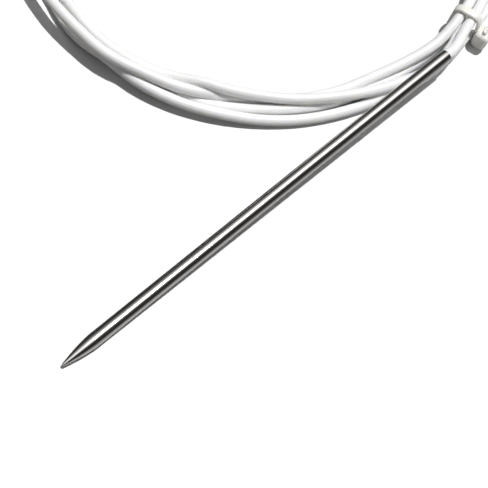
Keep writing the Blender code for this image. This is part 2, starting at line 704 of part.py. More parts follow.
def add_terminal(name, side, parts, cutters, material):
    """Add one fork terminal: a crimp barrel and a forked tongue in one piece."""
    turn_to_x = Matrix.Rotation(pi / 2, 4, "Y")
    barrel = cylinder_mesh(name, BARREL_RADIUS, BARREL_LENGTH, (BARREL_LENGTH / 2, 0, 0), turn_to_x)
    obj = add_object(name, barrel, parts, material)
    obj.matrix_world = terminal_matrix(side)
    bore_middle = (BARREL_LENGTH / 2 - BARREL_FLOOR, 0, 0)
    bore_mesh = cylinder_mesh("barrel_bore", BARREL_BORE, BARREL_LENGTH, bore_middle, turn_to_x)
    bore = add_cutter(f"{name}_bore", bore_mesh, cutters)
    tongue_height = TONGUE_THICKNESS / 2 - BARREL_RADIUS
    tongue_size = (TONGUE_LENGTH, TONGUE_WIDTH, TONGUE_THICKNESS)
    tongue_middle = (BARREL_LENGTH - TONGUE_ROOT + TONGUE_LENGTH / 2, 0.0, tongue_height)
    tongue = add_cutter(f"{name}_tongue", box_mesh("tongue", tongue_size, tongue_middle), cutters)
    slot_start = BARREL_LENGTH - TONGUE_ROOT + TONGUE_LENGTH - FORK_SLOT_LENGTH
    slot_depth = TONGUE_THICKNESS * CUTTER_REACH
    slot_size = (FORK_SLOT_LENGTH, FORK_SLOT_WIDTH, slot_depth)
    slot_middle = (slot_start + (FORK_SLOT_WIDTH + FORK_SLOT_LENGTH) / 2, 0.0, tongue_height)
    slot = add_cutter(f"{name}_slot", box_mesh("slot", slot_size, slot_middle), cutters)
    end_middle = (slot_start + FORK_SLOT_WIDTH / 2, 0.0, tongue_height)
    end_mesh = cylinder_mesh("slot_end", FORK_SLOT_WIDTH / 2, slot_depth, end_middle)
    slot_end = add_cutter(f"{name}_slot_end", end_mesh, cutters)
    for cutter in (bore, tongue, slot, slot_end):
        cutter.matrix_world = obj.matrix_world
    add_boolean(obj, "DIFFERENCE", bore)
    add_boolean(obj, "UNION", tongue)
    add_boolean(obj, "DIFFERENCE", slot)
    add_boolean(obj, "DIFFERENCE", slot_end)
    return obj


def add_terminal_sleeve(name, side, collection, material):
    """Add the insulating sleeve over one crimp barrel."""
    high = BARREL_LENGTH - TONGUE_ROOT - TOUCH_GAP
    low = high - TERMINAL_SLEEVE_LENGTH
    profile = [
        (TERMINAL_SLEEVE_BORE, low),
        (TERMINAL_SLEEVE_BORE, high),
        (TERMINAL_SLEEVE_RADIUS - TERMINAL_SLEEVE_EDGE, high),
        (TERMINAL_SLEEVE_RADIUS, high - TERMINAL_SLEEVE_EDGE),
        (TERMINAL_SLEEVE_RADIUS, low + TERMINAL_SLEEVE_EDGE),
        (TERMINAL_SLEEVE_RADIUS - TERMINAL_SLEEVE_EDGE, low),
    ]
    obj = add_turned(name, profile, collection, material, steps=SMALL_ROUND_STEPS)
    obj.matrix_world = terminal_matrix(side) @ Matrix.Rotation(pi / 2, 4, "Y")
    return obj


def build():
    """Build every piece of the probe."""
    clear_scene()
    parts = new_collection("thermocouple_probe")
    cutters = new_collection("cutters")
    steel = new_material("polished_steel", (0.62, 0.60, 0.58), 0.18, 1.0)
    weld = new_material("weld_metal", (0.38, 0.36, 0.34), 0.45, 1.0)
    alloy = new_material("thermocouple_alloy", (0.55, 0.53, 0.50), 0.35, 1.0)
    ceramic = new_material("fired_ceramic", (0.86, 0.84, 0.78), 0.7)
    copper = new_material("tinned_copper", (0.72, 0.70, 0.68), 0.3, 1.0)
    potting = new_material("potting_resin", (0.12, 0.11, 0.10), 0.5)
    insulation = new_material("white_insulation", (0.90, 0.90, 0.89), 0.35)
    nylon = new_material("natural_nylon", (0.86, 0.84, 0.74), 0.4)
    shrink = new_material("heat_shrink", (0.85, 0.85, 0.84), 0.5)
    red = new_material("red_sleeve", (0.62, 0.05, 0.04), 0.45)
    blue = new_material("blue_sleeve", (0.05, 0.13, 0.50), 0.45)

    axis = add_sheath_axis(parts)
    add_sheath(parts, axis, steel)
    add_junction(parts, axis, weld)
    for number in range(1, INSULATOR_COUNT + 1):
        add_insulator(number, parts, cutters, axis, ceramic)
    for pole, side, colour in (("positive", 1, red), ("negative", -1, blue)):
        add_wire(f"wire_{pole}", side, parts, axis, alloy)
        add_splice(f"splice_{pole}", side, parts, axis, copper)
        add_core(f"core_{pole}", side, parts, axis, copper)
        add_tail(f"tail_{pole}", side, parts, insulation)
        add_terminal(f"terminal_{pole}", side, parts, cutters, copper)
        add_terminal_sleeve(f"terminal_sleeve_{pole}", side, parts, colour)
    add_plug(parts, cutters, axis, potting)
    add_lead_run(parts, insulation)
    add_coil(parts, insulation)
    add_tie(parts, cutters, nylon)
    add_lead_tail(parts, insulation)
    add_end_sleeve(parts, shrink)


build()
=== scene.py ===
"""Look of the thermocouple probe: its polished sheath, its white lead with the cable tie, and the stage.

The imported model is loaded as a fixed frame. The sheath, the lead and the tie get their finished shapes
here. The far end's pieces and what lies inside the sheath keep their solids, and only get a finish.
Lengths are in metres.
"""
from __future__ import annotations

import logging
from dataclasses import dataclass, field
from enum import Enum
from math import asin, ceil, cos, pi, radians, sin
from typing import Iterable, Sequence

import bmesh
import bpy
from bpy.types import ID, Material, Mesh, Node, NodeSocket, NodeTree, Object
from mathutils import Matrix, Vector

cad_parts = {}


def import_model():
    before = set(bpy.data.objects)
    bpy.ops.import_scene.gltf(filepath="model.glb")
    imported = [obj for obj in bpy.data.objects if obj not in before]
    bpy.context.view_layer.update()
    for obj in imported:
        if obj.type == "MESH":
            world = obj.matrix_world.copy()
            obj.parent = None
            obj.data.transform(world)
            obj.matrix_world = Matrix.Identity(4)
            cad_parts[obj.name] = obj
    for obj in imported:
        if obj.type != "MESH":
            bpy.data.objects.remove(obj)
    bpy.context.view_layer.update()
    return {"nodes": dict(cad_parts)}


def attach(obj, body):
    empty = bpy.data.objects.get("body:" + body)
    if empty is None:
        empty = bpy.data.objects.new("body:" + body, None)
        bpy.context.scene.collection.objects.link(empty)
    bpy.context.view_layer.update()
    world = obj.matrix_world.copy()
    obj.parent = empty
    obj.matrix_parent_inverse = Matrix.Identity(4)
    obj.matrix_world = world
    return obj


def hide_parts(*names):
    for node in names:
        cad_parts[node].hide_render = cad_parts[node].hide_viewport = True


LOG = logging.getLogger("thermocouple_probe")

MM = 0.001
BODY = "root"
WHITE = (1.0, 1.0, 1.0, 1.0)


# Mesh and node helpers


def new_object(name: str, data: ID) -> Object:
    """Link data into the scene as an object.

    Args:
        name: the object's name.
        data: the mesh, curve or light that it shows.

    Returns:
        The new object, at the origin.
    """
    obj = bpy.data.objects.new(name, data)
    bpy.context.scene.collection.objects.link(obj)
    return obj


def mesh_from_shape(name: str, shape: bmesh.types.BMesh, sharp_above: float) -> Mesh:
    """Write a bmesh to a smooth-shaded mesh with its creases kept sharp.

    Args:
        name: the mesh's name.
        shape: the bmesh, which is freed.
        sharp_above: the angle in degrees above which an edge stays sharp.

    Returns:
        The mesh.
    """
    bmesh.ops.recalc_face_normals(shape, faces=shape.faces)
    mesh = bpy.data.meshes.new(name)
    shape.to_mesh(mesh)
    shape.free()
    mesh.shade_smooth()
    mesh.set_sharp_from_angle(angle=radians(sharp_above))
    return mesh


def plain_mesh(obj: Object) -> Object:
    """Replace an object and its modifiers by the mesh that they make.

    Args:
        obj: the object with modifiers.

    Returns:
        A mesh object of the same name, with no modifier.
    """
    graph = bpy.context.evaluated_depsgraph_get()
    mesh = bpy.data.meshes.new_from_object(obj.evaluated_get(graph))
    name = obj.name
    bpy.data.objects.remove(obj)
    return new_object(name, mesh)


def dress(obj: Object, material: Material) -> Object:
    """Give an object one material in its only slot.

    Args:
        obj: a mesh object.
        material: the material.

    Returns:
        The same object.
    """
    obj.data.materials.clear()
    obj.data.materials.append(material)
    return obj


class NodeSheet:
    """A node tree that is filled in with short calls."""

    def __init__(self, tree: NodeTree) -> None:
        """Keep the tree.

        Args:
            tree: a shader, geometry or world node tree.
        """
        self.tree = tree

    def add(
        self, kind: str, values: dict[str | int, object] | None = None, **settings: object
    ) -> Node:
        """Add a node, set its properties and then fill in its inputs.

        Args:
            kind: the node's type name.
            values: the values of its inputs, as fill_in takes them.
            **settings: properties of the node.

        Returns:
            The node.
        """
        node = self.tree.nodes.new(kind)
        for key, value in settings.items():
            setattr(node, key, value)
        return fill_in(node, values or {})

    def join(self, source: NodeSocket, target: NodeSocket) -> None:
        """Link an output socket to an input socket."""
        self.tree.links.new(source, target)

    def link(self, source: Node, output: str | int, target: Node, name: str | int | None = None) -> None:
        """Link a node's output to another node's input.

        Args:
            source: the first node.
            output: its output's name or number.
            target: the other node.
            name: its input's name or number. Without one, the input is named as the output is.
        """
        self.join(source.outputs[output], target.inputs[output if name is None else name])

    def maths(self, operation: str, first: object, second: object = 0.0) -> NodeSocket:
        """Add a Math node on two values.

        Args:
            operation: the Math node's operation.
            first: a socket or a number.
            second: a socket or a number.

        Returns:
            The result's socket.
        """
        node = self.add("ShaderNodeMath", operation=operation)
        for socket, value in zip(node.inputs, (first, second)):
            if isinstance(value, NodeSocket):
                self.join(value, socket)
            else:
                socket.default_value = value
        return node.outputs[0]


def fill_in(node: Node, values: dict[str | int, object]) -> Node:
    """Set a node's input values.

    Args:
        node: the node.
        values: the value of each input, by the input's name or number.

    Returns:
        The same node.
    """
    for name, value in values.items():
        node.inputs[name].default_value = value
    return node


def new_group(
    name: str, kind: str, inputs: Sequence[tuple[str, str]], outputs: Sequence[tuple[str, str]]
) -> tuple[NodeSheet, Node, Node]:
    """Start a node group with named sockets.

    Args:
        name: the group's name.
        kind: the kind of tree.
        inputs: the name and the kind of each input.
        outputs: the same for each output.

    Returns:
        The sheet of the group's tree, its input node and its output node.
    """
    tree = bpy.data.node_groups.new(name, kind)
    for in_out, sockets in (("INPUT", inputs), ("OUTPUT", outputs)):
        for socket, socket_kind in sockets:
            tree.interface.new_socket(socket, in_out=in_out, socket_type=f"NodeSocket{socket_kind}")
    sheet = NodeSheet(tree)
    return sheet, sheet.add("NodeGroupInput"), sheet.add("NodeGroupOutput")


# Shared surface effects


class SurfaceGroups:
    """Shader node groups that several finishes place with their own values."""

    GRAIN_DETAIL = 4.0
    DRIFT_DETAIL = 3.0
    DRIFT_RANGE = (0.35, 0.65)

    def __init__(self) -> None:
        """Build each group once."""
        self.grain = self._grain()
        self.shade_drift = self._shade_drift()

    def _grain(self) -> NodeTree:
        """Build the group that gives a fine surface relief.

        Returns:
            The group: a stretched noise, as a height between 0 and 1.
        """
        sheet, given, result = new_group(
            "fine_grain",
            "ShaderNodeTree",
            (("Place", "Vector"), ("Scale", "Float"), ("Stretch", "Vector")),
            (("Height", "Float"),),
        )
        mapping = sheet.add("ShaderNodeMapping")
        noise = sheet.add("ShaderNodeTexNoise", {"Detail": self.GRAIN_DETAIL})
        sheet.link(given, "Place", mapping, "Vector")
        sheet.link(given, "Stretch", mapping, "Scale")
        sheet.link(mapping, "Vector", noise)
        sheet.link(given, "Scale", noise)
        sheet.link(noise, "Fac", result, "Height")
        return sheet.tree

    def _shade_drift(self) -> NodeTree:
        """Build the group that lets a colour and a roughness drift a little over a surface.

        Returns:
            The group, with a colour and a roughness between two given ends.
        """
        sheet, given, result = new_group(
            "shade_drift",
            "ShaderNodeTree",
            (
                ("Place", "Vector"),
                ("Scale", "Float"),
                ("Colour", "Color"),
                ("Other Colour", "Color"),
                ("Roughness", "Float"),
                ("Other Roughness", "Float"),
            ),
            (("Colour", "Color"), ("Roughness", "Float")),
        )
        noise = sheet.add("ShaderNodeTexNoise", {"Detail": self.DRIFT_DETAIL})
        low, high = self.DRIFT_RANGE
        steeper = sheet.add("ShaderNodeMapRange", {"From Min": low, "From Max": high})
        colours = sheet.add("ShaderNodeMix", data_type="RGBA")
        numbers = sheet.add("ShaderNodeMix", data_type="FLOAT")
        sheet.link(given, "Place", noise, "Vector")
        sheet.link(given, "Scale", noise)
        sheet.link(noise, "Fac", steeper, "Value")
        sheet.link(steeper, "Result", colours, 0)
        sheet.link(steeper, "Result", numbers, 0)
        sheet.link(given, "Colour", colours, 6)
        sheet.link(given, "Other Colour", colours, 7)
        sheet.link(given, "Roughness", numbers, 2)
        sheet.link(given, "Other Roughness", numbers, 3)
        sheet.link(colours, 2, result, "Colour")
        sheet.link(numbers, 0, result, "Roughness")
        return sheet.tree


class Pattern(Enum):
    """What a finish's grain follows."""

    OBJECT = "the object's own coordinates"
    LEAD = "the length of the lead and the way round it"


@dataclass(frozen=True)
class Finish:
    """One surface finish: two near shades, two near roughnesses and a fine relief."""

    name: str
    colour: tuple[float, float, float]
    other_colour: tuple[float, float, float]
    roughness: float
    other_roughness: float
    metallic: float = 0.0
    ior: float = 1.45
    subsurface: float = 0.0
    scatter: float = 1.5 * MM
    scatter_colour: tuple[float, float, float] = (1.0, 0.95, 0.85)
    drift_scale: float = 60.0
    grain_scale: float = 900.0
    grain_stretch: tuple[float, float, float] = (1.0, 1.0, 1.0)
    grain_depth: float = 0.004 * MM
    pattern: Pattern = Pattern.OBJECT

    def material(self, groups: SurfaceGroups) -> Material:
        """Build the material.

        Args:
            groups: the shared node groups.

        Returns:
            The material, with the Principled shader in the material itself.
        """
        made = bpy.data.materials.new(self.name)
        made.use_nodes = True
        sheet = NodeSheet(made.node_tree)
        shader = fill_in(
            made.node_tree.nodes["Principled BSDF"],
            {
                "Metallic": self.metallic,
                "IOR": self.ior,
                "Subsurface Weight": self.subsurface,
                "Subsurface Radius": self.scatter_colour,
                "Subsurface Scale": self.scatter,
            },
        )
        if self.pattern is Pattern.LEAD:
            place = sheet.add("ShaderNodeAttribute", attribute_name="lead_place").outputs["Vector"]
        else:
            place = sheet.add("ShaderNodeTexCoord").outputs["Object"]
        drift = sheet.add(
            "ShaderNodeGroup",
            {
                "Scale": self.drift_scale,
                "Colour": (*self.colour, 1.0),
                "Other Colour": (*self.other_colour, 1.0),
                "Roughness": self.roughness,
                "Other Roughness": self.other_roughness,
            },
            node_tree=groups.shade_drift,
        )
        grain = sheet.add(
            "ShaderNodeGroup",
            {"Scale": self.grain_scale, "Stretch": self.grain_stretch},
            node_tree=groups.grain,
        )
        bump = sheet.add("ShaderNodeBump", {"Distance": self.grain_depth})
        sheet.join(place, drift.inputs["Place"])
        sheet.join(place, grain.inputs["Place"])
        sheet.link(drift, "Colour", shader, "Base Color")
        sheet.link(drift, "Roughness", shader)
        sheet.link(grain, "Height", bump)
        sheet.link(bump, "Normal", shader)
        made.diffuse_color = (*self.colour, 1.0)
        return made


FINISHES = (
    Finish(
        "polished_steel", (0.62, 0.60, 0.58), (0.58, 0.565, 0.55), 0.13, 0.18, metallic=1.0,
        drift_scale=45.0, grain_scale=260.0, grain_stretch=(8.0, 1.0, 1.0), grain_depth=0.003 * MM,
    ),
    Finish(
        "weld_metal", (0.38, 0.36, 0.34), (0.24, 0.23, 0.25), 0.4, 0.55, metallic=1.0,
        grain_scale=2500.0,
    ),
    Finish("thermocouple_alloy", (0.55, 0.53, 0.50), (0.48, 0.47, 0.46), 0.3, 0.42, metallic=1.0),
    Finish(
        "fired_ceramic", (0.86, 0.84, 0.78), (0.80, 0.77, 0.70), 0.65, 0.8,
        grain_scale=4000.0, grain_depth=0.02 * MM,
    ),
    Finish(
        "tinned_copper", (0.72, 0.70, 0.68), (0.64, 0.63, 0.62), 0.24, 0.36, metallic=1.0,
        drift_scale=300.0,
    ),
    Finish("potting_resin", (0.12, 0.11, 0.10), (0.09, 0.085, 0.08), 0.4, 0.55, drift_scale=500.0),
    Finish(
        "white_insulation", (0.95, 0.95, 0.945), (0.935, 0.935, 0.93), 0.3, 0.4, ior=1.38, subsurface=0.7,
        drift_scale=25.0, grain_scale=90.0, grain_stretch=(0.15, 9.0, 1.0), grain_depth=0.02 * MM,
        pattern=Pattern.LEAD,
    ),
    Finish(
        "natural_nylon", (0.93, 0.92, 0.86), (0.90, 0.885, 0.81), 0.35, 0.45, ior=1.53, subsurface=1.0,
        drift_scale=180.0, grain_scale=1800.0, grain_depth=0.01 * MM,
    ),
    Finish("heat_shrink", (0.85, 0.85, 0.84), (0.80, 0.80, 0.80), 0.45, 0.6, drift_scale=140.0),
    Finish("red_sleeve", (0.62, 0.05, 0.04), (0.54, 0.04, 0.035), 0.4, 0.5, drift_scale=200.0),
    Finish("blue_sleeve", (0.05, 0.13, 0.50), (0.04, 0.11, 0.42), 0.4, 0.5, drift_scale=200.0),
)


class Palette:
    """The materials by name, made once."""

    def __init__(self) -> None:
        """Build every finish's material."""
        groups = SurfaceGroups()
        self.materials = {finish.name: finish.material(groups) for finish in FINISHES}

    def __getitem__(self, name: str) -> Material:
        """Return the material of that name."""
        return self.materials[name]


# Where the pieces lie, as in the part's source


@dataclass(frozen=True)
class SheathAxis:
    """The sheath's axis as it rests on its shoulder and on the coil."""

    length: float = 150.0 * MM
    radius: float = 2.0 * MM
    point_length: float = 10.2 * MM
    seat_from_rear: float = 7.4 * MM
    seat_height: float = 6.376 * MM

    @property
    def tilt(self) -> float:
        """Angle of the axis above the surface."""
        return asin(self.seat_height / (self.length - self.seat_from_rear - self.point_length))

    @property
    def middle_x(self) -> float:
        """Distance along X from the point to the origin."""
        return (self.length * cos(self.tilt) + self.radius * sin(self.tilt)) / 2

    @property
    def rear_x(self) -> float:
        """X of the rear end's middle."""
        return self.length * cos(self.tilt) - self.middle_x

    def place(self, along: float) -> Vector:
        """Return the point of the axis at a distance from the probe's point."""
        height = self.radius * cos(self.tilt) + (along - self.point_length) * sin(self.tilt)
        return Vector((along * cos(self.tilt) - self.middle_x, 0.0, height))

    def matrix(self) -> Matrix:
        """Return the frame whose Z runs along the sheath from its point."""
        return Matrix.Translation(self.place(0.0)) @ Matrix.Rotation(pi / 2 - self.tilt, 4, "Y")


# Where each turn lies at an angle of the coil: how far out from the coil's radius, and how high,
# both in lead diameters
TURN_PLACES = (
    (-73.0, (1.45, 1.85), (0.375, 1.80), (0.875, 0.89), (0.375, 0.0)),
    (-64.0, (1.58, 1.82), (0.55, 1.76), (1.05, 0.88), (0.55, 0.0)),
    (-45.0, (1.00, 1.95), (0.05, 1.60), (1.00, 0.90), (0.35, 0.05)),
    (-30.0, (0.80, 2.00), (-0.18, 1.30), (0.85, 1.00), (0.20, 0.10)),
    (-13.0, (0.95, 1.95), (-0.15, 1.70), (0.55, 0.98), (0.25, 0.0)),
    (0.0, (0.85, 1.80), (-0.15, 1.95), (0.10, 1.00), (0.30, 0.02)),
    (15.0, (0.75, 1.70), (-0.22, 1.62), (-0.45, 0.62), (0.38, 0.0)),
    (30.0, (0.60, 1.65), (-0.30, 1.12), (-0.70, 0.12), (0.38, 0.0)),
    (90.0, (0.10, 1.75), (-0.35, 0.87), (-0.85, 0.0), (0.15, 0.0)),
    (150.0, (-0.20, 1.72), (-1.22, 0.92), (-1.60, 0.0), (-0.55, 0.0)),
    (165.0, (-0.30, 1.66), (-1.72, 0.92), (-2.22, 0.0), (-1.12, 0.0)),
    (173.0, (-0.27, 1.72), (-1.86, 0.90), (-2.36, 0.0), (-1.25, 0.0)),
    (180.0, (-0.16, 1.84), (-1.74, 0.92), (-1.95, 0.0), (-0.74, 0.02)),
    (187.0, (-0.06, 1.74), (-1.38, 0.95), (-1.38, 0.0), (-0.26, 0.30)),
    (194.0, (0.10, 1.65), (-1.16, 0.95), (-0.88, 0.0), (-0.16, 0.68)),
    (203.0, (-0.24, 1.42), (-1.17, 0.92), (-0.56, 0.0), (0.40, 0.62)),
    (212.0, (-0.50, 1.03), (-1.45, 1.08), (-0.44, 0.0), (0.66, 0.50)),
    (217.0, (-0.82, 0.78), (-1.45, 1.45), (-0.30, 0.0), (0.70, 0.43)),
    (222.0, (-1.15, 0.36), (-1.33, 1.34), (-0.27, 0.0), (0.73, 0.36)),
    (230.0, (-1.375, 0.03), (-1.22, 1.03), (-0.36, 0.0), (0.77, 0.12)),
    (240.0, (-1.34, 0.0), (-0.80, 0.90), (-0.34, 0.0), (0.81, 0.0)),
    (246.0, (-1.30, 0.03), (-0.48, 1.00), (-0.34, 0.0), (0.81, 0.0)),
    (252.0, (-1.24, 0.15), (-0.12, 1.00), (-0.34, 0.0), (0.83, 0.0)),
    (258.0, (-1.16, 0.50), (0.32, 0.97), (-0.32, 0.0), (0.88, 0.0)),
    (264.0, (-0.88, 0.84), (0.72, 0.96), (-0.30, 0.0), (0.98, 0.0)),
    (270.0, (-0.53, 0.97), (1.25, 0.93), (-0.22, 0.0), (1.34, 0.0)),
    (279.0, (0.12, 1.22), (1.36, 0.92), (0.16, 0.0), (1.62, 0.0)),
)


@dataclass(frozen=True)
class LeadRoute:
    """The lead's way from inside the sheath round the coil and to the end sleeve."""

    axis: SheathAxis = field(default_factory=SheathAxis)
    diameter: float = 3.2 * MM
    in_sheath: float = 3.2 * MM
    middle_from_rear: tuple[float, float] = (-7.3 * MM, 79.7 * MM)
    coil_radius: float = 74.7 * MM
    squeeze: float = 0.90
    tie_angle: float = -73.0
    tie_lift: float = 1.45 * MM
    tie_lift_reach: float = 14.0
    bundle_entry: float = -76.5
    bundle_exit: float = -62.0
    last_place: tuple[float, float] = (1.80, 0.0)
    tail_leaves: tuple[float, float] = (2.6, 0.0)
    run: tuple[tuple[float, float, float], ...] = (
        (3.0 * MM, 0.15 * MM, 8.85 * MM),
        (6.0 * MM, 0.75 * MM, 8.8 * MM),
        (8.8 * MM, 1.75 * MM, 8.75 * MM),
    )
    in_sleeve: float = 5.0 * MM
    tail: tuple[tuple[float, float, float], ...] = (
        (35.0 * MM, 6.75 * MM, 1.8 * MM),
        (38.1 * MM, 6.5 * MM, 2.25 * MM),
        (42.6 * MM, 5.9 * MM, 2.45 * MM),
    )
    coil_step: float = 3.0
    spacing: float = 1.5 * MM

    @property
    def turns(self) -> int:
        """Number of turns in the coil."""
        return len(TURN_PLACES[0]) - 1

    def _curves(self) -> tuple[list[tuple[float, float]], list[tuple[float, float]]]:
        """List the turns' places one after another.

        Returns:
            The (angle, out) pairs and the (angle, up) pairs, in lead diameters.
        """
        out: list[tuple[float, float]] = []
        up: list[tuple[float, float]] = []
        for turn in range(self.turns):
            for angle, *places in TURN_PLACES:
                out.append((angle + 360 * turn, places[turn][0]))
                up.append((angle + 360 * turn, places[turn][1]))
        for angle, place in ((self.tie_angle, self.last_place), (self.bundle_exit, self.tail_leaves)):
            out.append((angle + 360 * self.turns, place[0]))
            up.append((angle + 360 * self.turns, place[1]))
        return out, up

    @staticmethod
    def _blend(values: Sequence[tuple[float, float]], place: float) -> float:
        """Read a smooth curve through pairs.

        Args:
            values: (place, value) pairs in order.
            place: where to read.

        Returns:
            The value there.
        """
        index = max(i for i in range(len(values) - 1) if values[i][0] <= place or i == 0)
        near = values[max(index - 1, 0):index + 3]
        (x0, y0), (x1, y1) = values[index], values[index + 1]
        slope0 = (y1 - near[0][1]) / (x1 - near[0][0])
        slope1 = (near[-1][1] - y0) / (near[-1][0] - x0)
        span = x1 - x0
        t = (place - x0) / span
        return (
            (1 + 2 * t) * (1 - t) ** 2 * y0
            + t * (1 - t) ** 2 * span * slope0
            + t ** 2 * (3 - 2 * t) * y1
            + t ** 2 * (t - 1) * span * slope1
        )

    def strand(self, angle: float) -> tuple[float, float]:
        """Place of the lead's middle at a winding angle.

        Args:
            angle: degrees, counted on over the turns.

        Returns:
            Its radius from the coil's middle and its height.
        """
        out, up = self._curves()
        away = abs((angle - self.tie_angle + 180) % 360 - 180) / self.tie_lift_reach
        lift = self.tie_lift * (1 + cos(pi * min(away, 1.0))) / 2
        layer = max(0.0, self._blend(up, angle))
        radius = self.coil_radius + self._blend(out, angle) * self.diameter
        return radius, self.diameter * (0.5 + layer) + lift

    def point(self, angle: float, radius: float, height: float) -> Vector:
        """Find a place on the coil.

        Args:
            angle: degrees round the coil.
            radius: distance from the coil's middle, before the far side is squeezed.
            height: height above the surface.

        Returns:
            The place in the world.
        """
        squeeze = self.squeeze if sin(radians(angle)) > 0 else 1.0
        middle_x = self.axis.rear_x + self.middle_from_rear[0]
        return Vector((
            middle_x + radius * cos(radians(angle)),
            self.middle_from_rear[1] + radius * sin(radians(angle)) * squeeze,
            height,
        ))

    def from_rear(self, places: Iterable[Sequence[float]]) -> list[Vector]:
        """Return the world places of points that are given from the sheath's rear end."""
        return [Vector(place) + Vector((self.axis.rear_x, 0.0, 0.0)) for place in places]

    def sleeve_frame(self) -> tuple[Vector, Vector]:
        """Find where the end sleeve begins.

        Returns:
            The middle of its first end and the level direction that it points in.
        """
        before, end = self.from_rear(self.tail)[-2:]
        direction = end - before
        direction.z = 0.0
        direction.normalize()
        return end - direction * self.in_sleeve, direction

    def points(self) -> list[Vector]:
        """Follow the lead from its start inside the sheath to its end inside the sleeve.

        Returns:
            The points of its middle line.
        """
        last = self.bundle_exit + 360 * self.turns
        count = ceil((last - self.tie_angle) / self.coil_step)
        coil = []
        for i in range(count + 1):
            angle = self.tie_angle + (last - self.tie_angle) * i / count
            coil.append(self.point(angle, *self.strand(angle)))
        inside = self.axis.place(self.axis.length - self.in_sheath)
        entry = self.point(self.bundle_entry, *self.strand(self.tie_angle))
        ahead = [inside, self.axis.place(self.axis.length), *self.from_rear(self.run), entry, *coil[:2]]
        sleeve_start, _ = self.sleeve_frame()
        *leaving, end = self.from_rear(self.tail)
        behind = [coil[-2], coil[-1], *leaving, sleeve_start, end]
        return [*smooth_route(ahead, self.spacing), *coil[2:-2], *smooth_route(behind, self.spacing)]


def smooth_route(points: Sequence[Vector], spacing: float) -> list[Vector]:
    """Read points at an even spacing from a smooth curve through given points.

    Args:
        points: the points that the curve passes through.
        spacing: the wanted distance between two read points.

    Returns:
        The read points.
    """
    ends = [2 * points[0] - points[1], *points, 2 * points[-1] - points[-2]]
    result = [points[0].copy()]
    for before, start, stop, after in zip(ends, ends[1:], ends[2:], ends[3:]):
        pieces = max(1, ceil((stop - start).length / spacing))
        for step in range(1, pieces + 1):
            t = step / pieces
            result.append(
                0.5
                * (
                    2 * start
                    + (stop - before) * t
                    + (2 * before - 5 * start + 4 * stop - after) * t ** 2
                    + (3 * start - before - 3 * stop + after) * t ** 3
                )
            )
    return result


# Geometry Nodes trees


def end_tree(sheet: NodeSheet, last: Node, given: Node, result: Node) -> None:
    """End a tree: make its instances real and give them the material that it is given.

    Args:
        sheet: the tree's sheet.
        last: the node that puts out the geometry.
        given: the tree's input node.
        result: the tree's output node.
    """
    real = sheet.add("GeometryNodeRealizeInstances")
    finish = sheet.add("GeometryNodeSetMaterial")
    sheet.link(last, 0, real)
    sheet.link(real, 0, finish)
    sheet.link(given, "Finish", finish, "Material")
    sheet.link(finish, 0, result)


def run_tree(name: str, mesh: Mesh, tree: NodeTree, values: dict[str, object]) -> Object:
    """Run a Geometry Nodes tree on a mesh.

    Args:
        name: the piece's name.
        mesh: the mesh that the tree is given.
        tree: the tree.
        values: the value of each of its named inputs.

    Returns:
        What the tree makes, as a plain mesh object.
    """
    obj = new_object(name, mesh)
    modifier = obj.modifiers.new(name, "NODES")
    modifier.node_group = tree
    for item in tree.interface.items_tree:
        if item.item_type == "SOCKET" and item.in_out == "INPUT" and item.name in values:
            modifier[item.identifier] = values[item.name]
    return plain_mesh(obj)


